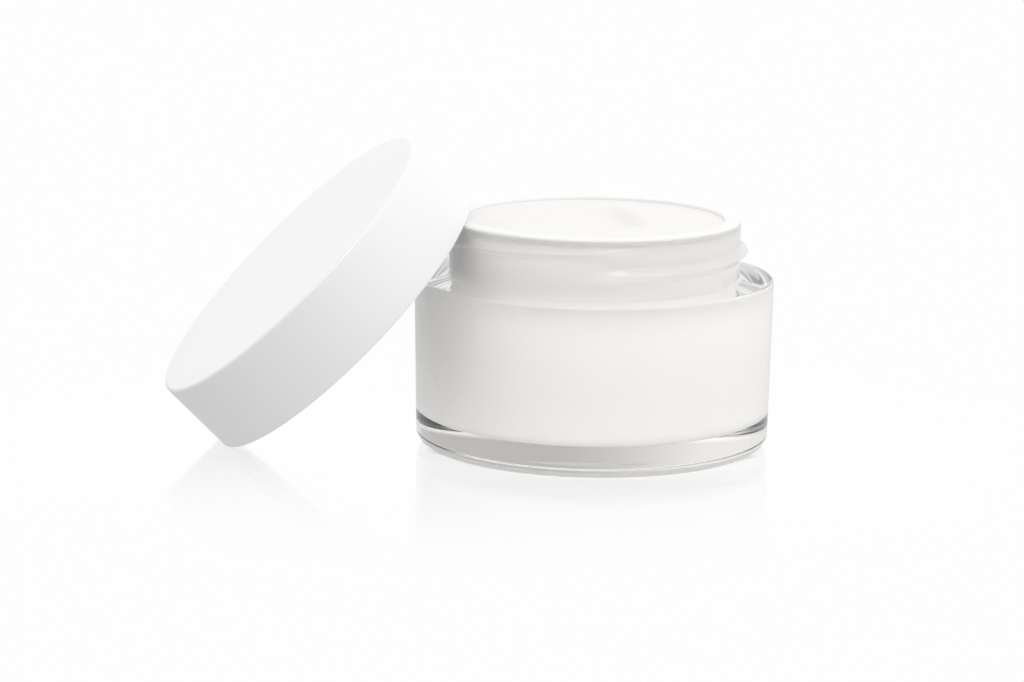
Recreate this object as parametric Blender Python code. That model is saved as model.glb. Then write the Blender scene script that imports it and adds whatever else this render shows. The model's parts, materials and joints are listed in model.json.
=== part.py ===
"""Cosmetic cream jar: clear thick-wall jar, white inner cup, cream, and a two-piece
screw lid with its sealing disc, leaning open against the jar.  Metres, +Z up,
origin at the centre of the jar's base."""
import math

import bmesh
import bpy
from mathutils import Euler, Matrix, Vector

MM = 0.001
SEGMENTS = 72

# ---- clear outer jar -------------------------------------------------------
BODY_TOP_R = 32.5
BODY_BOTTOM_R = 32.0
BASE_FILLET = 2.8
SHOULDER_Z = 30.8
SHOULDER_EDGE = 0.7
NECK_R = 26.3
NECK_Z = 40.5
NECK_EDGE = 0.4
CUP_WELL_R = 24.9
CUP_WELL_FLOOR_Z = 5.0
THREAD_PITCH = 4.2
THREAD_HEIGHT = 1.35
THREAD_HALF_WIDTH = 2.0
THREAD_START_TURN = -0.28
THREAD_END_TURN = 0.80
THREAD_Z_AT_ZERO = 36.0
THREAD_RUN_IN = 0.09

# ---- white inner cup -------------------------------------------------------
CUP_OUTER_R = 24.6
CUP_INNER_R = 23.4
CUP_BOTTOM_Z = 5.3
CUP_FLOOR = 1.2
FLANGE_R = 26.2
FLANGE_BOTTOM_Z = 40.8
FLANGE_TOP_Z = 41.6

# ---- cream -----------------------------------------------------------------
CREAM_R = 23.15
CREAM_LEVEL_Z = 40.3
CREAM_SWIRL = 0.45

# ---- lid -------------------------------------------------------------------
LID_R = 31.6
LID_TOP_R = 31.4
LID_HEIGHT = 14.9
LID_RIM_BEVEL = 0.3
LID_EDGE = 0.8
LID_WALL = 1.0
LID_TOP_WALL = 1.2
CAP_GAP = 0.3
CAP_RECESS = 1.6
CAP_BORE_R = 28.4
CAP_TOP_WALL = 1.0
LID_THREAD_HEIGHT = 1.0
LID_THREAD_HALF_WIDTH = 1.5
LID_THREAD_Z = 6.6
DISC_R = 27.9
DISC_THICK = 1.2
DISC_GAP = 0.3

# ---- where the open lid rests: its rim on the table, its mouth over the neck
LID_TILT = math.radians(45.2)
LID_YAW = math.radians(7.0)
LID_X = -45.0
LID_Y = 2.3


def clear_scene():
    for obj in list(bpy.data.objects):
        bpy.data.objects.remove(obj, do_unlink=True)


def material(name, colour, roughness, transmission=0.0, ior=1.49):
    mat = bpy.data.materials.new(name)
    mat.use_nodes = True
    shader = mat.node_tree.nodes["Principled BSDF"]
    shader.inputs["Base Color"].default_value = (*colour, 1.0)
    shader.inputs["Roughness"].default_value = roughness
    shader.inputs["Transmission Weight"].default_value = transmission
    shader.inputs["IOR"].default_value = ior
    mat.diffuse_color = (*colour, 1.0)
    return mat


def lathe(name, profile, mat, radius_at=None):
    """Closed revolve of a (radius, height) outline in mm, starting and ending on the axis.

    radius_at(theta, r, z) may move a point in or out, which is how threads are raised.
    """
    bm = bmesh.new()
    rings = []
    for r, z in profile:
        if r == 0.0:
            rings.append([bm.verts.new((0.0, 0.0, z * MM))])
            continue
        ring = []
        for i in range(SEGMENTS):
            theta = 2.0 * math.pi * i / SEGMENTS
            rr = r if radius_at is None else radius_at(theta, r, z)
            ring.append(bm.verts.new((rr * MM * math.cos(theta), rr * MM * math.sin(theta), z * MM)))
        rings.append(ring)
    for low, high in zip(rings, rings[1:]):
        for i in range(SEGMENTS):
            j = (i + 1) % SEGMENTS
            if len(low) == 1:
                bm.faces.new((low[0], high[j], high[i]))
            elif len(high) == 1:
                bm.faces.new((low[i], low[j], high[0]))
            else:
                bm.faces.new((low[i], low[j], high[j], high[i]))
    bmesh.ops.recalc_face_normals(bm, faces=bm.faces)
    mesh = bpy.data.meshes.new(name)
    bm.to_mesh(mesh)
    bm.free()
    mesh.materials.append(mat)
    mesh.shade_smooth()
    mesh.set_sharp_from_angle(angle=math.radians(35.0))
    obj = bpy.data.objects.new(name, mesh)
    bpy.context.collection.objects.link(obj)
    return obj


def arc(centre_r, centre_z, radius, start_deg, end_deg, steps=4):
    """Points of a rounded corner in the (radius, height) plane."""
    points = []
    for k in range(steps + 1):
        a = math.radians(start_deg + (end_deg - start_deg) * k / steps)
        points.append((centre_r + radius * math.cos(a), centre_z + radius * math.sin(a)))
    return points


def rows(r0, z0, r1, z1, count):
    """Evenly spaced points between two outline points, ends left out."""
    return [(r0 + (r1 - r0) * k / count, z0 + (z1 - z0) * k / count) for k in range(1, count)]


def helix_bump(theta, z, z_at_zero, start, end, half_width, height):
    """Height of a right-hand thread ridge at an angle and level, tapered at both ends."""
    best = 0.0
    for turn in (-1, 0, 1):
        t = theta / (2.0 * math.pi) + turn
        if t < start or t > end:
            continue
        d = (z - (z_at_zero + THREAD_PITCH * t)) / half_width
        if abs(d) >= 1.0:
            continue
        run = min(1.0, (t - start) / THREAD_RUN_IN, (end - t) / THREAD_RUN_IN)
        ease = run * run * (3.0 - 2.0 * run)
        best = max(best, height * ease * math.cos(0.5 * math.pi * d) ** 2)
    return best


def build_outer_jar(mat):
    def radius_at(theta, r, z):
        on_neck = abs(r - NECK_R) < 0.01 and SHOULDER_Z + 0.9 < z < NECK_Z - 0.5
        if not on_neck:
            return r
        return r + helix_bump(theta, z, THREAD_Z_AT_ZERO, THREAD_START_TURN, THREAD_END_TURN,
                              THREAD_HALF_WIDTH, THREAD_HEIGHT)

    profile = [(0.0, 0.0), (14.0, 0.0)]
    profile += arc(BODY_BOTTOM_R - BASE_FILLET, BASE_FILLET, BASE_FILLET, -90.0, 0.0, 5)
    profile += rows(BODY_BOTTOM_R, BASE_FILLET, BODY_TOP_R, SHOULDER_Z - SHOULDER_EDGE, 2)
    profile += arc(BODY_TOP_R - SHOULDER_EDGE, SHOULDER_Z - SHOULDER_EDGE, SHOULDER_EDGE, 0.0, 90.0, 3)
    profile += arc(NECK_R + 0.5, SHOULDER_Z + 0.5, 0.5, 270.0, 180.0, 2)
    profile += rows(NECK_R, SHOULDER_Z + 0.5, NECK_R, NECK_Z - NECK_EDGE, 16)
    profile += arc(NECK_R - NECK_EDGE, NECK_Z - NECK_EDGE, NECK_EDGE, 0.0, 90.0, 2)
    profile += [(CUP_WELL_R, NECK_Z)]
    profile += [(CUP_WELL_R, CUP_WELL_FLOOR_Z), (0.0, CUP_WELL_FLOOR_Z)]
    return lathe("outer_jar", profile, mat, radius_at)


def build_inner_cup(mat):
    profile = [(0.0, CUP_BOTTOM_Z)]
    profile += arc(CUP_OUTER_R - 0.8, CUP_BOTTOM_Z + 0.8, 0.8, -90.0, 0.0, 3)
    profile += [(CUP_OUTER_R, FLANGE_BOTTOM_Z)]
    profile += [(FLANGE_R - 0.15, FLANGE_BOTTOM_Z), (FLANGE_R, FLANGE_BOTTOM_Z + 0.15)]
    profile += arc(FLANGE_R - 0.35, FLANGE_TOP_Z - 0.35, 0.35, 0.0, 90.0, 2)
    profile += arc(CUP_INNER_R + 0.3, FLANGE_TOP_Z - 0.3, 0.3, 90.0, 180.0, 2)
    floor = CUP_BOTTOM_Z + CUP_FLOOR
    profile += arc(CUP_INNER_R - 1.5, floor + 1.5, 1.5, 0.0, -90.0, 3)
    profile += [(0.0, floor)]
    return lathe("inner_cup", profile, mat)


def build_cream(mat):
    """Solid fill of the cup with a low spatula swirl on top."""
    bottom = CUP_BOTTOM_Z + CUP_FLOOR + CAP_GAP
    profile = [(0.0, bottom)]
    profile += arc(CREAM_R - 1.7, bottom + 1.7, 1.7, -90.0, 0.0, 3)
    profile += [(CREAM_R, CREAM_LEVEL_Z)]
    radii = [20.6, 18.0, 15.4, 12.8, 10.2, 7.6, 5.0, 2.5]
    profile += [(r, CREAM_LEVEL_Z) for r in radii]
    profile += [(0.0, CREAM_LEVEL_Z)]
    obj = lathe("cream", profile, mat)
    for v in obj.data.vertices:
        if abs(v.co.z - CREAM_LEVEL_Z * MM) > 1e-7:
            continue
        r = math.hypot(v.co.x, v.co.y) / MM
        if r > CREAM_R - 0.5:
            continue
        theta = math.atan2(v.co.y, v.co.x)
        fade = min(1.0, (CREAM_R - r) / 4.0) * min(1.0, r / 4.0)
        v.co.z += CREAM_SWIRL * MM * fade * math.sin(2.0 * theta + r * 0.42)
    return obj


def build_lid_shell(mat):
    """Outer skin of the lid, mouth at height 0, open downwards."""
    inner_r = LID_R - LID_WALL
    inner_z = LID_HEIGHT - LID_TOP_WALL
    profile = [(0.0, inner_z)]
    profile += arc(inner_r - 1.0, inner_z - 1.0, 1.0, 90.0, 0.0, 2)
    profile += [(inner_r, CAP_RECESS)]
    profile += [(inner_r, 0.25), (inner_r + 0.25, 0.0)]
    profile += [(LID_R - LID_RIM_BEVEL, 0.0), (LID_R, LID_RIM_BEVEL)]
    profile += rows(LID_R, LID_RIM_BEVEL, LID_TOP_R, LID_HEIGHT - LID_EDGE, 2)
    profile += arc(LID_TOP_R - LID_EDGE, LID_HEIGHT - LID_EDGE, LID_EDGE, 0.0, 90.0, 4)
    profile += [(16.0, LID_HEIGHT), (0.0, LID_HEIGHT)]
    return lathe("lid_shell", profile, mat)


def build_lid_inner_cap(mat):
    """Threaded liner of the lid, fixed inside the shell a step back from its mouth."""
    outer_r = LID_R - LID_WALL - CAP_GAP
    top_z = LID_HEIGHT - LID_TOP_WALL - CAP_GAP
    under_z = top_z - CAP_TOP_WALL

    def radius_at(theta, r, z):
        if abs(r - CAP_BORE_R) > 0.01 or not CAP_RECESS + 0.6 < z < under_z - 0.3:
            return r
        return r - helix_bump(theta, z, LID_THREAD_Z, -0.5, 0.5,
                              LID_THREAD_HALF_WIDTH, LID_THREAD_HEIGHT)

    profile = [(0.0, under_z), (CAP_BORE_R, under_z)]
    profile += rows(CAP_BORE_R, under_z, CAP_BORE_R, CAP_RECESS + 0.4, 13)
    profile += [(CAP_BORE_R, CAP_RECESS + 0.4), (CAP_BORE_R + 0.4, CAP_RECESS)]
    profile += [(outer_r, CAP_RECESS), (outer_r, top_z - 1.0)]
    profile += arc(outer_r - 1.0, top_z - 1.0, 1.0, 45.0, 90.0, 1)
    profile += [(0.0, top_z)]
    return lathe("lid_inner_cap", profile, mat, radius_at)


def build_sealing_disc(mat):
    top_z = LID_HEIGHT - LID_TOP_WALL - CAP_GAP - CAP_TOP_WALL - DISC_GAP
    low_z = top_z - DISC_THICK
    profile = [(0.0, low_z), (DISC_R - 0.2, low_z), (DISC_R, low_z + 0.2)]
    profile += [(DISC_R, top_z - 0.2), (DISC_R - 0.2, top_z), (0.0, top_z)]
    return lathe("sealing_disc", profile, mat)


def lean_lid(pieces):
    """Put the lid's pieces, and their origins on the lid's axis, in the leaning pose."""
    turn = Euler((0.0, 0.0, LID_YAW)).to_matrix() @ Euler((0.0, -LID_TILT, 0.0)).to_matrix()
    # the rim's bevel meets the table with its inner or its outer edge, whichever is lower
    inner_drop = (LID_R - LID_RIM_BEVEL) * math.sin(LID_TILT)
    outer_drop = LID_R * math.sin(LID_TILT) - LID_RIM_BEVEL * math.cos(LID_TILT)
    height = max(inner_drop, outer_drop)
    centre = Vector((LID_X * MM, LID_Y * MM, height * MM))
    for obj in pieces:
        obj.matrix_world = Matrix.Translation(centre) @ turn.to_4x4()


def main():
    clear_scene()
    clear = material("outer_jar", (0.93, 0.94, 0.92), 0.04, transmission=0.9)
    cup_white = material("inner_cup", (0.92, 0.91, 0.89), 0.3)
    cream_white = material("cream", (0.95, 0.93, 0.89), 0.35)
    lid_white = material("lid_shell", (0.93, 0.92, 0.93), 0.28)
    liner_white = material("lid_inner_cap", (0.9, 0.9, 0.9), 0.35)
    foam = material("sealing_disc", (0.95, 0.95, 0.95), 0.7)
    build_outer_jar(clear)
    build_inner_cup(cup_white)
    build_cream(cream_white)
    shell = build_lid_shell(lid_white)
    cap = build_lid_inner_cap(liner_white)
    disc = build_sealing_disc(foam)
    lean_lid([shell, cap, disc])


main()
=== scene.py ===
"""Looks for the cream jar: clear moulded jar, white inner cup, soft cream and a
satin white screw lid leaning against the neck, on a pale glossy studio table.

Outlines are lists of (radius, height) points in millimetres; the frame is in metres."""
import json
import math

import bmesh
import bpy
from mathutils import Matrix, Vector, noise


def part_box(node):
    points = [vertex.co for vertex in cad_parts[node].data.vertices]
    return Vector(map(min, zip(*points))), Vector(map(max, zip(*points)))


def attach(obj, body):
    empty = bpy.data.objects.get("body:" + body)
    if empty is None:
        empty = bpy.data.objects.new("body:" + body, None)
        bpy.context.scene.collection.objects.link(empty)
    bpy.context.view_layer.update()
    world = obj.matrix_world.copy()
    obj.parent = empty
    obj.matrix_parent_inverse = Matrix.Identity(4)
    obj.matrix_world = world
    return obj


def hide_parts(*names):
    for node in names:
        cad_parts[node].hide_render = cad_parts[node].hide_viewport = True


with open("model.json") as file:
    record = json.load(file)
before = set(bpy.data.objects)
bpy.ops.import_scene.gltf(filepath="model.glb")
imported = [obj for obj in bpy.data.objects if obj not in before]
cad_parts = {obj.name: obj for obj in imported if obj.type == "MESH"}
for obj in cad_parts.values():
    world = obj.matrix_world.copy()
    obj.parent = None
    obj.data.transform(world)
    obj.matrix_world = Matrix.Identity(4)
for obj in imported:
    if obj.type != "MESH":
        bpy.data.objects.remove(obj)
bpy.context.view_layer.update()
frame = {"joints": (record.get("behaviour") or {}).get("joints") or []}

MM = 0.001
SEGMENTS = 256
SHARP_ANGLE = math.radians(50.0)
ON_WALL = 0.02             # a point this close to a threaded wall's radius carries its thread

# ---- the jar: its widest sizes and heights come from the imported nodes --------
jar_low, jar_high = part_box("outer_jar")
cup_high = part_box("inner_cup")[1]
cream_low, cream_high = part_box("cream")

BODY_TOP_R = (jar_high.x - jar_low.x) / 2 / MM
BODY_TAPER = 0.5
BODY_BOTTOM_R = BODY_TOP_R - BODY_TAPER
BASE_FILLET = 2.8
SHOULDER_Z = 30.8
SHOULDER_EDGE = 0.6
NECK_R = 26.3
NECK_Z = jar_high.z / MM
NECK_ROOT = 0.5
LIP_WALL = 0.4
LIP_STRAIGHT = 0.3         # plain neck right under the lip's top
JAR_CHAMFER = 0.1
BASE_RING_RADII = (10.0, 22.0)
BOND = 0.06                # how far the cup's white reaches into the clear wall

WELL_R = 24.9
WELL_Z = 4.85
WELL_CORNER = 2.0
WELL_LIP = 0.2
WELL_RING_R = 12.0

# ---- the cup ------------------------------------------------------------------
FLANGE_TOP_Z = cup_high.z / MM
FLANGE_BOTTOM_Z = NECK_Z + 0.04
FLANGE_R = NECK_R - LIP_WALL + BOND
FLANGE_STEP = 0.5          # the flange's top, which covers the clear lip
FLANGE_INSET = 0.01        # keeps the covering step just inside the clear neck's face
LIP_Z = FLANGE_TOP_Z - FLANGE_STEP
RIM_OUTER_EDGE = 0.4
RIM_INNER_EDGE = 0.35
FLANGE_UNDER_EDGE = 0.15
FLANGE_ROOT = 0.3
CUP_INNER_R = 23.4
CUP_OUTER_R = WELL_R + BOND
CUP_BOTTOM_Z = WELL_Z - BOND
CUP_FLOOR = 1.2
CUP_INNER_CORNER = 1.5

# ---- the cream: a crest along a curve, and a dish to the left of it ------------
CREAM_SPREAD = 0.2         # how far it reaches past the CAD's cream, towards the cup
CREAM_R = (cream_high.x - cream_low.x) / 2 / MM + CREAM_SPREAD
CREAM_Z = 40.85
CREAM_GAP = 0.15
CREAM_BOTTOM_Z = CUP_BOTTOM_Z + CUP_FLOOR + CREAM_GAP
CREAM_CORNER = 1.6
CREAM_RINGS = 110
CREAM_EDGE = 0.05
CREAM_EDGE_RISE = 0.15
CREAM_SINK = 0.2
RIM_RISE = 0.35
EDGE_FADE = 4.0
CREST_X = 9.0
CREST_END = -5.4
CREST_MIDDLE = 3.0
CREST_LENGTH = 11.0
CREST_LEAN = 0.2
CREST_CURL = 0.35
CREST_RISE = 1.5
CREST_STEEP_SIDE = 1.6
CREST_SLOW_SIDE = 7.0
DISH_DEPTH = 1.0
DISH_WIDTH = 4.5
UNEVEN_HEIGHT = 0.30
UNEVEN_SCALE = 0.07
UNEVEN_SLICE = 3.7         # the height at which the 3-D noise is cut

# ---- threads: start and end in turns, middle height, half width and height in mm ----
THREAD_PITCH = 4.2
THREAD_RUN_IN = 0.09
JAR_THREAD = {"middle": 36.0, "start": -0.28, "end": 0.80, "half": 1.5, "height": 1.35}
LID_THREAD = {"middle": 6.6, "start": -0.5, "end": 0.5, "half": 1.5, "height": 1.0}

# ---- the lid, in its own frame: z = 0 at its rim, z up to its closed top -------
LID_R = 31.6
LID_TOP_R = 31.4
LID_HEIGHT = 14.9
LID_WALL = 1.0
LID_TOP_WALL = 1.2
LID_RIM_EDGE = 0.3
LID_TOP_EDGE = 0.6
LID_INNER_CORNER = 1.0
LID_TOP_RING_RADII = (24.0, 12.0)
LID_UNDER_Z = LID_HEIGHT - LID_TOP_WALL
CAP_GAP = 0.15
CAP_TOP_DEPTH = 1.3
CAP_RECESS = 1.6
CAP_BORE_R = 28.4
CAP_MOUTH_EDGE = 0.4
CAP_CHAMFER = 0.1
CAP_SHOULDER = (0.8, 1.0)  # slope at its closed end, inward and down
CAP_UNDER_Z = LID_UNDER_Z - CAP_TOP_DEPTH
DISC_R = 27.9
DISC_GAP = 0.3
DISC_THICKNESS = 1.2
DISC_EDGE = 0.2
DISC_RING_R = 10.0
DISC_GROOVE_RADII = (25.4, 25.8, 26.8, 27.2)
DISC_GROOVE_DEPTH = 0.12

# ---- studio light: strengths, directions to aim at, and the start and stop of soft edges ----
STAGE_WHITE = 0.99         # the even white that the camera sees
TABLE_HALF = 6.0
TABLE_DROP = -0.00004
TABLE_GLOW = 0.67
GLOW_SLOPE = 0.15
GLOW_SLOPE_SCALE = 8.0
SHEEN_ROUGHNESS = 0.07
SHEEN_IOR = 1.65
JAR_SHEEN = (BODY_BOTTOM_R * MM, 0.075)    # full out to the first, gone the second further on
LID_SHEEN = (0.012, 0.065)

SKY_BASE = 0.88
SKY_SLOPE = (-0.30, 0.40, -0.30)
KEY_AIM = (0.55, -0.50, 0.67)
KEY_EDGE = (0.2, 0.8)
KEY_LIGHT = 0.78
MIRROR_LIMIT = 1.0
STRIP_LOW_EDGE = (0.55, 0.70)
STRIP_HIGH_EDGE = (0.84, 0.94)
STRIP_FRONT_EDGE = (0.1, 0.3)
STRIP_LIGHT = 3.0

BACK_EDGE = (0.05, 0.35)
BACK_TOP_EDGE = (0.22, 0.55)
BACK_ACROSS = (-0.25, 0.5)
BACK_LOW_RIGHT = 0.50
BACK_LOW_LEFT = 0.88
FRONT_EDGE = (0.02, 0.22)
FRONT_TOP_EDGE = (0.45, 0.75)
FRONT_LOW = 0.04

WALL_BASE = 1.43
WALL_SLOPE = (0.38, -0.10, 0.38)
WALL_LEFT_EDGE = (0.3, 0.8)
WALL_LEFT_GAIN = 1.4
WALL_SIDE_AIM = (0.72, -0.60, 0.35)
WALL_SIDE_EDGE = (0.4, 0.95)
WALL_SIDE_LIGHT = 0.24
WALL_TINT = (1.0, 0.968, 0.938, 1.0)
WALL_TABLE_GLOW = TABLE_GLOW * 1.60
WALL_TABLE_LEFT_GLOW = WALL_TABLE_GLOW * 2.0
TABLE_LEFT_EDGE = (0.02, 0.06)
TABLE_BACK_EDGE = (-0.06, 0.03)

WHITE = (1.0, 1.0, 1.0, 1.0)

# ---- camera -------------------------------------------------------------------
CAMERA_DISTANCE = 0.6607
CAMERA_ELEVATION = math.radians(11.04)
CAMERA_AZIMUTH = math.radians(3.06)
CAMERA_ROLL = math.radians(0.73)
CAMERA_LENS = 127.97
CAMERA_SENSOR = 36.0
CAMERA_NEAR = 0.01
CAMERA_TARGET = (-0.01473, 0.0, 0.01857)


def lid_matrix():
    """The lid's own frame at rest, from its turning joint."""
    joint = next(j for j in frame["joints"] if j["name"] == "lid_turn")
    up = Vector(joint["axis"]).normalized()
    side = (Vector((1, 0, 0)) - up * up.x).normalized()
    other = up.cross(side)
    turn = Matrix((side, other, up)).transposed().to_4x4()
    return Matrix.Translation(Vector(joint["pos_m"])) @ turn


def lowest_of_lid():
    """The point of the lid's rim or top edge that is nearest the table."""
    place = lid_matrix()
    spots = []
    for r, z in ((LID_R, 0.0), (LID_TOP_R, LID_HEIGHT)):
        for degree in range(360):
            a = math.radians(degree)
            spots.append(place @ Vector((r * math.cos(a) * MM, r * math.sin(a) * MM, z * MM)))
    return min(spots, key=lambda p: p.z)


# ---- mesh helpers -----------------------------------------------------------
def smooth(t):
    return t * t * (3.0 - 2.0 * t)


def arc(cr, cz, radius, start, end, steps):
    """Points of a round stretch from start to end, in degrees."""
    out = []
    for k in range(steps + 1):
        a = math.radians(start + (end - start) * k / steps)
        out.append((cr + radius * math.cos(a), cz + radius * math.sin(a)))
    return out


def rows(r0, z0, r1, z1, count):
    """Points between two ends of a straight stretch, without the ends."""
    return [(r0 + (r1 - r0) * k / count, z0 + (z1 - z0) * k / count) for k in range(1, count)]


def flat(z, radii):
    """Points at one height."""
    return [(r, z) for r in radii]


def unshifted(theta, r, z):
    return r, z


def lathe(name, profile, shift=unshifted):
    """Revolve of an outline that starts and ends on the axis; shift may move each point."""
    bm = bmesh.new()
    rings = []
    for r, z in profile:
        if r <= 0.0:
            rings.append([bm.verts.new((0.0, 0.0, shift(0.0, 0.0, z)[1] * MM))])
            continue
        ring = []
        for i in range(SEGMENTS):
            theta = 2.0 * math.pi * i / SEGMENTS
            rr, zz = shift(theta, r, z)
            ring.append(bm.verts.new((rr * MM * math.cos(theta), rr * MM * math.sin(theta), zz * MM)))
        rings.append(ring)
    for low, high in zip(rings, rings[1:]):
        for i in range(SEGMENTS):
            j = (i + 1) % SEGMENTS
            if len(low) == 1:
                bm.faces.new((low[0], high[j], high[i]))
            elif len(high) == 1:
                bm.faces.new((low[i], low[j], high[0]))
            else:
                bm.faces.new((low[i], low[j], high[j], high[i]))
    bmesh.ops.recalc_face_normals(bm, faces=bm.faces)
    mesh = bpy.data.meshes.new(name)
    bm.to_mesh(mesh)
    bm.free()
    mesh.shade_smooth()
    mesh.set_sharp_from_angle(angle=SHARP_ANGLE)
    obj = bpy.data.objects.new(name, mesh)
    bpy.context.scene.collection.objects.link(obj)
    return obj


def ridge(theta, z, middle, start, end, half, height):
    """How far a thread stands out of its wall at this angle and height."""
    best = 0.0
    for turn in (-1, 0, 1):
        t = theta / (2.0 * math.pi) + turn
        if t < start or t > end:
            continue
        d = abs(z - (middle + THREAD_PITCH * t)) / half
        if d >= 1.0:
            continue
        run = min(1.0, (t - start) / THREAD_RUN_IN, (end - t) / THREAD_RUN_IN)
        best = max(best, height * smooth(run) * math.cos(0.5 * math.pi * d) ** 2)
    return best


# ---- materials --------------------------------------------------------------
class Nodes:
    """Short helper around one material's node tree."""

    def __init__(self, name):
        self.mat = bpy.data.materials.new(name)
        self.mat.use_nodes = True
        self.tree = self.mat.node_tree
        self.shader = self.tree.nodes["Principled BSDF"]
        self.out = self.tree.nodes["Material Output"]
        self.coord = self.tree.nodes.new("ShaderNodeTexCoord")

    def add(self, kind, **values):
        node = self.tree.nodes.new(kind)
        for key, value in values.items():
            if key in node.inputs:
                node.inputs[key].default_value = value
            else:
                setattr(node, key, value)
        return node

    def link(self, a, b):
        self.tree.links.new(a, b)

    def noise(self, scale, detail=2.0, rough=0.5, stretch=None):
        tex = self.add("ShaderNodeTexNoise", Scale=scale, Detail=detail, Roughness=rough)
        place = self.coord.outputs["Object"]
        if stretch is not None:
            mapping = self.add("ShaderNodeMapping")
            mapping.inputs["Scale"].default_value = stretch
            self.link(place, mapping.inputs["Vector"])
            place = mapping.outputs["Vector"]
        self.link(place, tex.inputs["Vector"])
        return tex.outputs["Fac"]

    def ramp(self, fac, low, high, start=0.3, stop=0.7):
        """Value from low to high as fac goes from start to stop."""
        node = self.add("ShaderNodeMapRange")
        node.inputs["From Min"].default_value = start
        node.inputs["From Max"].default_value = stop
        node.inputs["To Min"].default_value = low
        node.inputs["To Max"].default_value = high
        self.link(fac, node.inputs["Value"])
        return node.outputs["Result"]

    def colour(self, fac, a, b):
        """Base colour between a and b."""
        node = self.add("ShaderNodeMix", data_type="RGBA")
        self.link(fac, node.inputs["Factor"])
        node.inputs["A"].default_value = (*a, 1.0)
        node.inputs["B"].default_value = (*b, 1.0)
        self.link(node.outputs["Result"], self.shader.inputs["Base Color"])

    def roughness(self, fac, low, high):
        self.link(self.ramp(fac, low, high), self.shader.inputs["Roughness"])

    def bump(self, height, strength, distance):
        node = self.add("ShaderNodeBump", Strength=strength, Distance=distance)
        self.link(height, node.inputs["Height"])
        self.link(node.outputs["Normal"], self.shader.inputs["Normal"])

    def set(self, name, value):
        self.shader.inputs[name].default_value = value


def plastic(name, light, dark, rough, coat=0.0, grain=0.02):
    """Moulded white plastic: slow tone drift, uneven satin and a fine grain."""
    n = Nodes(name)
    n.colour(n.ramp(n.noise(60.0, 3.0), 0.0, 1.0), light, dark)
    n.roughness(n.noise(240.0, 4.0), *rough)
    n.bump(n.noise(1800.0), strength=grain, distance=0.0004)
    n.set("IOR", 1.49)
    n.set("Coat Weight", coat)
    n.set("Coat Roughness", 0.12)
    return n.mat


def clear_plastic():
    """Polished clear acrylic: faint moulding ripples, a trace of haze and tint."""
    n = Nodes("clear_acrylic")
    n.set("Base Color", WHITE)
    n.set("Transmission Weight", 1.0)
    n.set("IOR", 1.49)
    n.roughness(n.noise(420.0, 3.0), 0.0, 0.025)
    n.bump(n.noise(90.0, 1.0, 0.4, stretch=(1.0, 1.0, 0.35)), strength=0.03, distance=0.0005)
    absorb = n.add("ShaderNodeVolumeAbsorption", Density=6.0)
    absorb.inputs["Color"].default_value = (0.93, 0.935, 0.925, 1.0)
    n.link(absorb.outputs["Volume"], n.out.inputs["Volume"])
    return n.mat


def cream_material():
    """Soft cream: warm white, semi-gloss, gently uneven."""
    n = Nodes("soft_cream")
    n.colour(n.ramp(n.noise(120.0, 3.0), 0.0, 1.0), (0.90, 0.885, 0.87), (0.885, 0.87, 0.85))
    n.roughness(n.noise(300.0, 3.0), 0.30, 0.40)
    n.bump(n.noise(180.0), strength=0.12, distance=0.0006)
    n.set("IOR", 1.42)
    return n.mat


def foam_material():
    """Closed-cell foam: fine cells in colour and bump, matte."""
    n = Nodes("foam_disc")
    cells = n.add("ShaderNodeTexVoronoi", Scale=1500.0)
    n.link(n.coord.outputs["Object"], cells.inputs["Vector"])
    dist = cells.outputs["Distance"]
    n.colour(n.ramp(dist, 0.0, 1.0, 0.0, 0.8), (0.86, 0.86, 0.86), (0.92, 0.92, 0.91))
    n.roughness(n.noise(300.0), 0.6, 0.8)
    n.bump(dist, strength=0.3, distance=0.0002)
    return n.mat


# ---- pieces -----------------------------------------------------------------
def make_outer_jar():
    """Thick clear wall: body, shoulder, threaded neck with a thin lip, and the cup's well."""
    thread_low = SHOULDER_Z + 0.8
    thread_high = NECK_Z - 0.5

    def shift(theta, r, z):
        if abs(r - NECK_R) < ON_WALL and thread_low < z < thread_high:
            r += ridge(theta, z, **JAR_THREAD)
        return r, z

    edge_z = SHOULDER_Z - SHOULDER_EDGE
    lip_inner_r = NECK_R - LIP_WALL
    p = flat(0.0, (0.0, *BASE_RING_RADII))
    p += arc(BODY_BOTTOM_R - BASE_FILLET, BASE_FILLET, BASE_FILLET, -90.0, 0.0, 40)
    p += rows(BODY_BOTTOM_R, BASE_FILLET, BODY_TOP_R, edge_z, 8)
    p += arc(BODY_TOP_R - SHOULDER_EDGE, edge_z, SHOULDER_EDGE, 0.0, 90.0, 8)
    p += arc(NECK_R + NECK_ROOT, SHOULDER_Z + NECK_ROOT, NECK_ROOT, 270.0, 180.0, 5)
    p += rows(NECK_R, SHOULDER_Z + NECK_ROOT, NECK_R, LIP_Z - LIP_STRAIGHT, 60)
    p += flat(LIP_Z, (NECK_R, lip_inner_r))
    p += [(lip_inner_r, NECK_Z + JAR_CHAMFER), (lip_inner_r - JAR_CHAMFER, NECK_Z)]
    p += arc(WELL_R + WELL_LIP, NECK_Z - WELL_LIP, WELL_LIP, 90.0, 180.0, 3)
    p += rows(WELL_R, NECK_Z - WELL_LIP, WELL_R, WELL_Z + WELL_CORNER, 6)
    p += arc(WELL_R - WELL_CORNER, WELL_Z + WELL_CORNER, WELL_CORNER, 0.0, -90.0, 16)
    p += flat(WELL_Z, (WELL_RING_R, 0.0))
    obj = lathe("jar_clear_wall", p, shift)
    obj.data.materials.append(clear_plastic())
    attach(obj, "jar")
    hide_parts("outer_jar")


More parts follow.
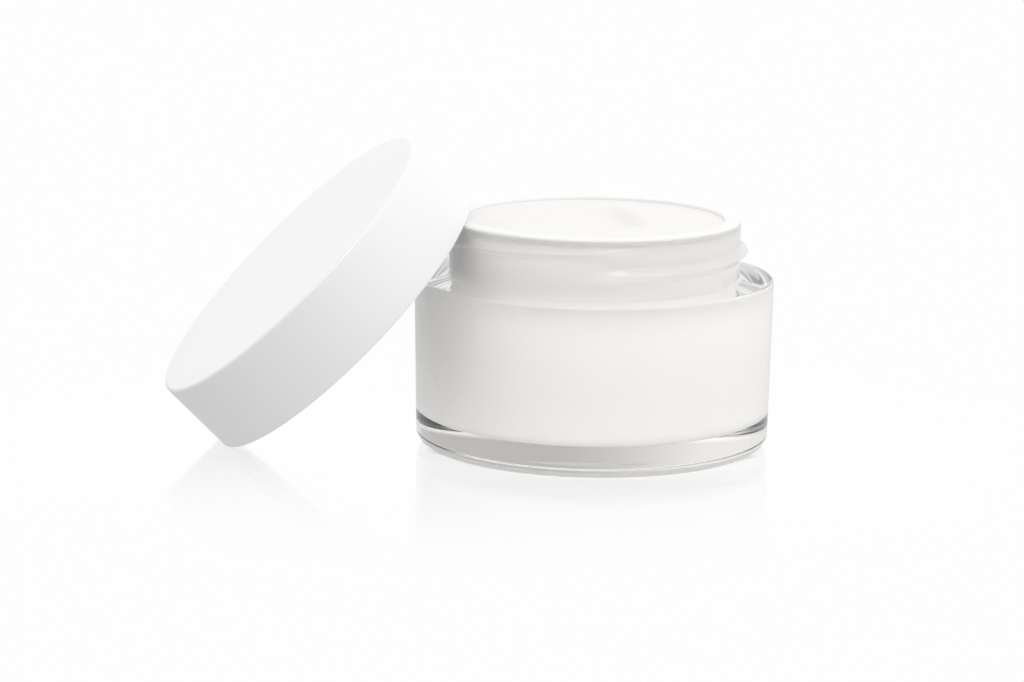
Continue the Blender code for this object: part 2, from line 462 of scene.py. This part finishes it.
def make_inner_cup():
    """White cup, bonded into the clear wall, with a flange that covers the lip."""
    floor = CUP_BOTTOM_Z + CUP_FLOOR
    inner_top = FLANGE_TOP_Z - RIM_INNER_EDGE
    inner_low = floor + CUP_INNER_CORNER
    p = flat(CUP_BOTTOM_Z, (0.0, WELL_RING_R))
    p += arc(CUP_OUTER_R - WELL_CORNER, CUP_BOTTOM_Z + WELL_CORNER, WELL_CORNER, -90.0, 0.0, 16)
    p += rows(CUP_OUTER_R, CUP_BOTTOM_Z + WELL_CORNER,
              CUP_OUTER_R, FLANGE_BOTTOM_Z - FLANGE_ROOT, 8)
    p += arc(CUP_OUTER_R + FLANGE_ROOT, FLANGE_BOTTOM_Z - FLANGE_ROOT, FLANGE_ROOT, 180.0, 90.0, 3)
    p += arc(FLANGE_R - FLANGE_UNDER_EDGE, FLANGE_BOTTOM_Z + FLANGE_UNDER_EDGE,
             FLANGE_UNDER_EDGE, -90.0, 0.0, 3)
    p += flat(LIP_Z - BOND, (FLANGE_R, NECK_R - FLANGE_INSET))
    p += arc(NECK_R - RIM_OUTER_EDGE, FLANGE_TOP_Z - RIM_OUTER_EDGE, RIM_OUTER_EDGE, 0.0, 90.0, 8)
    p += arc(CUP_INNER_R + RIM_INNER_EDGE, inner_top, RIM_INNER_EDGE, 90.0, 180.0, 6)
    p += rows(CUP_INNER_R, inner_top, CUP_INNER_R, inner_low, 6)
    p += arc(CUP_INNER_R - CUP_INNER_CORNER, inner_low, CUP_INNER_CORNER, 0.0, -90.0, 5)
    p += [(0.0, floor)]
    obj = lathe("white_inner_cup", p)
    satin = (0.30, 0.38)
    wall = plastic("cup_white", (0.978, 0.973, 0.966), (0.974, 0.969, 0.961), satin)
    # a darker copy of the cup's white for the flange and the bore: painted shade that tones down how
    # brightly they are lit
    rim = plastic("cup_rim_painted_shade", (0.93, 0.923, 0.915), (0.92, 0.912, 0.905), satin)
    obj.data.materials.append(wall)
    obj.data.materials.append(rim)
    flange_low = (FLANGE_BOTTOM_Z - 0.1) * MM
    bore = (CUP_INNER_R + 0.1) * MM
    # faces of the flange and of the bore take the painted-shade copy
    for face in obj.data.polygons:
        if face.center.z > flange_low or face.center.xy.length < bore:
            face.material_index = 1
    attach(obj, "jar")
    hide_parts("inner_cup")


def cream_surface(theta, r, z):
    """Cream scooped smooth: a shallow dish with one soft crest curling across it."""
    if z < CREAM_Z - 0.01 or r > CREAM_R - CREAM_EDGE:
        return r, z
    x, y = r * math.cos(theta), r * math.sin(theta)
    fade = smooth(min(1.0, (CREAM_R - r) / EDGE_FADE))
    curl = max(0.0, CREST_END - y)
    off = x - (CREST_X - CREST_LEAN * (y - CREST_END) - CREST_CURL * curl * curl)
    along = (y - CREST_MIDDLE) / CREST_LENGTH
    crest = math.exp(-along * along)
    width = CREST_STEEP_SIDE if off < 0.0 else CREST_SLOW_SIDE
    hill = crest * math.exp(-(off / width) ** 2)
    dish = crest * math.exp(-((off + DISH_WIDTH) / DISH_WIDTH) ** 2)
    slow = noise.noise(Vector((x * UNEVEN_SCALE, y * UNEVEN_SCALE, UNEVEN_SLICE)))
    lift = fade * (CREST_RISE * hill - DISH_DEPTH * dish + UNEVEN_HEIGHT * slow)
    rim = RIM_RISE * (r / CREAM_R) ** 6
    return r, z + lift + rim - CREAM_SINK


def make_cream():
    corner_z = CREAM_BOTTOM_Z + CREAM_CORNER
    edge_z = CREAM_Z + CREAM_EDGE_RISE
    p = [(0.0, CREAM_BOTTOM_Z)]
    p += arc(CREAM_R - CREAM_CORNER, corner_z, CREAM_CORNER, -90.0, 0.0, 4)
    p += rows(CREAM_R, corner_z, CREAM_R, edge_z, 4)
    p += [(CREAM_R, edge_z)]
    top_r = CREAM_R - CREAM_EDGE
    p += [(top_r * (1.0 - k / CREAM_RINGS), CREAM_Z) for k in range(CREAM_RINGS + 1)]
    obj = lathe("cream_fill", p, cream_surface)
    obj.data.materials.append(cream_material())
    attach(obj, "jar")
    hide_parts("cream")


def make_lid_shell(place):
    """Satin white overcap with a finely rounded rim and top edge."""
    inner_r = LID_R - LID_WALL
    corner_z = LID_UNDER_Z - LID_INNER_CORNER
    edge_z = LID_HEIGHT - LID_TOP_EDGE
    p = [(0.0, LID_UNDER_Z)]
    p += arc(inner_r - LID_INNER_CORNER, corner_z, LID_INNER_CORNER, 90.0, 0.0, 5)
    p += rows(inner_r, corner_z, inner_r, 0.4, 5)
    p += arc(inner_r + LID_RIM_EDGE, LID_RIM_EDGE, LID_RIM_EDGE, 180.0, 270.0, 4)
    p += arc(LID_R - LID_RIM_EDGE, LID_RIM_EDGE, LID_RIM_EDGE, -90.0, 0.0, 5)
    p += rows(LID_R, LID_RIM_EDGE, LID_TOP_R, edge_z, 8)
    p += arc(LID_TOP_R - LID_TOP_EDGE, edge_z, LID_TOP_EDGE, 0.0, 90.0, 10)
    p += flat(LID_HEIGHT, (*LID_TOP_RING_RADII, 0.0))
    shell = lathe("lid_outer_shell", p)
    white = plastic("lid_white", (0.935, 0.922, 0.93), (0.925, 0.912, 0.921),
                    rough=(0.30, 0.36), coat=0.25, grain=0.012)
    shell.data.materials.append(white)
    shell.data.transform(place)
    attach(shell, "lid")
    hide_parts("lid_shell")


def make_lid_liner(place):
    """Threaded inner cap, a little back from the shell's rim."""
    outer_r = LID_R - LID_WALL - CAP_GAP
    top_z = LID_UNDER_Z - CAP_GAP
    mouth_z = CAP_RECESS + CAP_MOUTH_EDGE
    thread_low = CAP_RECESS + 0.6
    thread_high = CAP_UNDER_Z - 0.3

    def shift(theta, r, z):
        if abs(r - CAP_BORE_R) < ON_WALL and thread_low < z < thread_high:
            r -= ridge(theta, z, **LID_THREAD)
        return r, z

    p = flat(CAP_UNDER_Z, (0.0, CAP_BORE_R - 0.5))
    p += rows(CAP_BORE_R, CAP_UNDER_Z, CAP_BORE_R, mouth_z, 44)
    p += arc(CAP_BORE_R + CAP_MOUTH_EDGE, mouth_z, CAP_MOUTH_EDGE, 180.0, 270.0, 4)
    p += [(outer_r - CAP_CHAMFER, CAP_RECESS), (outer_r, CAP_RECESS + CAP_CHAMFER)]
    slope_in, slope_down = CAP_SHOULDER
    p += [(outer_r, top_z - slope_down), (outer_r - slope_in, top_z), (0.0, top_z)]
    cap = lathe("lid_threaded_liner", p, shift)
    white = plastic("liner_white", (0.93, 0.925, 0.92), (0.915, 0.91, 0.905),
                    rough=(0.32, 0.42), grain=0.03)
    cap.data.materials.append(white)
    cap.data.transform(place)
    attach(cap, "lid")
    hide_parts("lid_inner_cap")


def make_foam_disc(place):
    """Sealing disc, with the groove that the jar's rim has pressed into it."""
    high_z = CAP_UNDER_Z - DISC_GAP
    low_z = high_z - DISC_THICKNESS
    groove_z = low_z + DISC_GROOVE_DEPTH
    groove_start, groove_in, groove_out, groove_stop = DISC_GROOVE_RADII
    p = flat(low_z, (0.0, DISC_RING_R, groove_start))
    p += flat(groove_z, (groove_in, groove_out))
    p += flat(low_z, (groove_stop,))
    p += arc(DISC_R - DISC_EDGE, low_z + DISC_EDGE, DISC_EDGE, -90.0, 0.0, 3)
    p += [(DISC_R, high_z - DISC_EDGE), (DISC_R - DISC_EDGE, high_z), (0.0, high_z)]
    disc = lathe("lid_foam_disc", p)
    disc.data.materials.append(foam_material())
    disc.data.transform(place)
    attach(disc, "lid_seal")
    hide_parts("sealing_disc")


# ---- studio -----------------------------------------------------------------
class Graph:
    """Arithmetic on node sockets: plain numbers or sockets in, a socket out."""

    def __init__(self, tree):
        self.tree = tree

    def feed(self, socket, value):
        if isinstance(value, (int, float)):
            socket.default_value = value
        else:
            self.tree.links.new(value, socket)

    def math(self, operation, a, b=0.0, clamp=False):
        node = self.tree.nodes.new("ShaderNodeMath")
        node.operation = operation
        node.use_clamp = clamp
        self.feed(node.inputs[0], a)
        self.feed(node.inputs[1], b)
        return node.outputs[0]

    def plus(self, a, b):
        return self.math("ADD", a, b)

    def minus(self, a, b, clamp=False):
        return self.math("SUBTRACT", a, b, clamp)

    def times(self, a, b):
        return self.math("MULTIPLY", a, b)

    def rise(self, value, start, stop):
        """0 below start, 1 above stop, eased between."""
        node = self.tree.nodes.new("ShaderNodeMapRange")
        node.interpolation_type = "SMOOTHSTEP"
        node.inputs["From Min"].default_value = start
        node.inputs["From Max"].default_value = stop
        self.tree.links.new(value, node.inputs["Value"])
        return node.outputs["Result"]

    def fall(self, value, start, stop):
        """1 below start, 0 above stop, eased between."""
        return self.minus(1.0, self.rise(value, start, stop))

    def rise_against(self, value, start, stop):
        """rise of the value with its sign turned."""
        return self.rise(self.times(value, -1.0), start, stop)

    def weigh(self, sockets, factors, start=0.0):
        """start plus each socket times its factor."""
        total = start
        for socket, factor in zip(sockets, factors):
            total = self.plus(self.times(socket, factor), total)
        return total

    def between(self, value, low, high):
        return self.plus(self.times(value, high - low), low)

    def axes(self, socket):
        node = self.tree.nodes.new("ShaderNodeSeparateXYZ")
        self.tree.links.new(socket, node.inputs[0])
        return node.outputs

    def pick(self, choose, no, yes):
        """no where choose is 0, yes where it is 1."""
        node = self.tree.nodes.new("ShaderNodeMix")
        for name, value in (("Factor", choose), ("A", no), ("B", yes)):
            self.feed(node.inputs[name], value)
        return node.outputs["Result"]


class Rays:
    """Kinds of ray that the studio's light depends on. The object's materials don't use them."""

    def __init__(self, g):
        path = g.tree.nodes.new("ShaderNodeLightPath").outputs
        self.camera = path["Is Camera Ray"]
        self.refracted = path["Is Transmission Ray"]
        self.scattered = g.math("GREATER_THAN", path["Diffuse Depth"], 0.5)
        self.straight = g.math("LESS_THAN", path["Diffuse Depth"], 0.5)
        self.mirrored = g.minus(path["Is Glossy Ray"], self.refracted, clamp=True)


def table_glow(g, x, y):
    """Table's light: even white to the camera, and brighter to the white behind the clear wall."""
    rays = Rays(g)
    behind_wall = g.times(rays.refracted, rays.scattered)
    slope = g.times(g.math("TANH", g.times(x, GLOW_SLOPE_SCALE)), GLOW_SLOPE)
    left = g.times(g.rise_against(x, *TABLE_LEFT_EDGE), g.rise(y, *TABLE_BACK_EDGE))
    wall = g.between(left, WALL_TABLE_GLOW, WALL_TABLE_LEFT_GLOW)
    lit = g.pick(behind_wall, g.plus(slope, TABLE_GLOW), wall)
    return g.pick(rays.camera, lit, STAGE_WHITE)


def sheen_near(g, x, y, cx, cy, hold, reach):
    """1 within hold of a point, fading to 0 over reach."""
    dx = g.minus(x, cx)
    dy = g.minus(y, cy)
    far = g.math("SQRT", g.plus(g.times(dx, dx), g.times(dy, dy)))
    faded = g.math("DIVIDE", g.minus(far, hold), reach, clamp=True)
    left = g.minus(1.0, faded, clamp=True)
    return g.times(left, left)


def make_floor():
    """Pale backlit table, with a mirror sheen that fades away from the jar and the lid's rim."""
    mesh = bpy.data.meshes.new("table")
    s = TABLE_HALF
    mesh.from_pydata([(-s, -s, 0), (s, -s, 0), (s, s, 0), (-s, s, 0)], [], [(0, 1, 2, 3)])
    floor = bpy.data.objects.new("table", mesh)
    bpy.context.scene.collection.objects.link(floor)
    floor.location.z = TABLE_DROP
    n = Nodes("pale_table")
    n.tree.nodes.remove(n.shader)
    g = Graph(n.tree)
    x, y, _ = g.axes(n.coord.outputs["Object"])
    glow = n.add("ShaderNodeEmission")
    n.link(table_glow(g, x, y), glow.inputs["Strength"])
    gloss = n.add("ShaderNodeBsdfGlossy", Roughness=SHEEN_ROUGHNESS, Color=WHITE)
    touch = lowest_of_lid()
    sheen = g.math("MAXIMUM", sheen_near(g, x, y, 0.0, 0.0, *JAR_SHEEN),
                   sheen_near(g, x, y, touch.x, touch.y, *LID_SHEEN))
    fresnel = n.add("ShaderNodeFresnel", IOR=SHEEN_IOR)
    blend = n.add("ShaderNodeMixShader")
    n.link(g.times(fresnel.outputs["Fac"], sheen), blend.inputs[0])
    n.link(glow.outputs["Emission"], blend.inputs[1])
    n.link(gloss.outputs["BSDF"], blend.inputs[2])
    n.link(blend.outputs["Shader"], n.out.inputs["Surface"])
    mesh.materials.append(n.mat)


def room_light(g, x, y, z):
    """What lights the object from outside: a soft slope and a broad key from the right."""
    light = g.weigh((x, y, z), SKY_SLOPE, SKY_BASE)
    key = g.rise(g.weigh((x, y, z), KEY_AIM), *KEY_EDGE)
    return g.plus(light, g.times(key, KEY_LIGHT))


def wall_light(g, x, y, z):
    """What lights the white behind the clear wall: brighter, with more from the side."""
    light = g.weigh((x, y, z), WALL_SLOPE, WALL_BASE)
    left = g.rise_against(x, *WALL_LEFT_EDGE)
    light = g.times(light, g.between(left, 1.0, WALL_LEFT_GAIN))
    side = g.rise(g.weigh((x, y, z), WALL_SIDE_AIM), *WALL_SIDE_EDGE)
    return g.plus(light, g.times(side, WALL_SIDE_LIGHT))


def through_light(g, x, y, z, light):
    """What shows straight through the clear wall: greyer low behind, dark low in front."""
    behind = g.times(g.rise(y, *BACK_EDGE), g.fall(z, *BACK_TOP_EDGE))
    before = g.times(g.rise_against(y, *FRONT_EDGE), g.fall(z, *FRONT_TOP_EDGE))
    backdrop = g.between(g.rise_against(x, *BACK_ACROSS), BACK_LOW_RIGHT, BACK_LOW_LEFT)
    return g.pick(before, g.pick(behind, light, backdrop), FRONT_LOW)


def strip_light(g, y, z):
    """A narrow bright strip high in front, which only mirrored rays see."""
    height = g.times(g.rise(z, *STRIP_LOW_EDGE), g.fall(z, *STRIP_HIGH_EDGE))
    return g.times(height, g.rise_against(y, *STRIP_FRONT_EDGE))


def make_world():
    """Soft white studio, with a light of its own for each kind of ray."""
    world = bpy.data.worlds.new("studio")
    bpy.context.scene.world = world
    world.use_nodes = True
    tree = world.node_tree
    g = Graph(tree)
    rays = Rays(g)
    x, y, z = g.axes(tree.nodes.new("ShaderNodeTexCoord").outputs["Generated"])

    light = room_light(g, x, y, z)
    seen = g.times(rays.refracted, rays.straight)
    behind_wall = g.pick(seen, wall_light(g, x, y, z), through_light(g, x, y, z, light))
    strength = g.pick(rays.refracted, light, behind_wall)
    strength = g.pick(rays.mirrored, strength, g.math("MINIMUM", strength, MIRROR_LIMIT))
    strip = g.times(strip_light(g, y, z), g.times(rays.mirrored, rays.straight))
    strength = g.plus(strength, g.times(strip, STRIP_LIGHT))

    tint = tree.nodes.new("ShaderNodeMix")
    tint.data_type = "RGBA"
    tint.inputs["A"].default_value = WHITE
    tint.inputs["B"].default_value = WALL_TINT
    tree.links.new(rays.refracted, tint.inputs["Factor"])
    back = tree.nodes["Background"]
    tree.links.new(tint.outputs["Result"], back.inputs["Color"])
    tree.links.new(g.pick(rays.camera, strength, STAGE_WHITE), back.inputs["Strength"])


def make_camera():
    """Long lens, a little above the jar, at the photograph's viewing angle."""
    level = Vector((math.sin(CAMERA_AZIMUTH), math.cos(CAMERA_AZIMUTH), 0.0))
    down = Vector((0.0, 0.0, -math.sin(CAMERA_ELEVATION)))
    forward = level * math.cos(CAMERA_ELEVATION) + down
    right = Vector((math.cos(CAMERA_AZIMUTH), -math.sin(CAMERA_AZIMUTH), 0.0))
    up = right.cross(forward)
    rolled_right = right * math.cos(CAMERA_ROLL) + up * math.sin(CAMERA_ROLL)
    rolled_up = up * math.cos(CAMERA_ROLL) - right * math.sin(CAMERA_ROLL)
    data = bpy.data.cameras.new("photo_camera")
    data.sensor_width = CAMERA_SENSOR
    data.lens = CAMERA_LENS
    data.clip_start = CAMERA_NEAR
    cam = bpy.data.objects.new("photo_camera", data)
    bpy.context.scene.collection.objects.link(cam)
    turn = Matrix((rolled_right, rolled_up, -forward)).transposed().to_4x4()
    spot = Vector(CAMERA_TARGET) - forward * CAMERA_DISTANCE
    cam.matrix_world = Matrix.Translation(spot) @ turn
    bpy.context.scene.camera = cam


def main():
    bpy.context.scene.view_settings.view_transform = "Standard"
    make_camera()
    make_world()
    make_floor()
    make_inner_cup()
    make_outer_jar()
    make_cream()
    place = lid_matrix()
    make_lid_shell(place)
    make_lid_liner(place)
    make_foam_disc(place)


main()
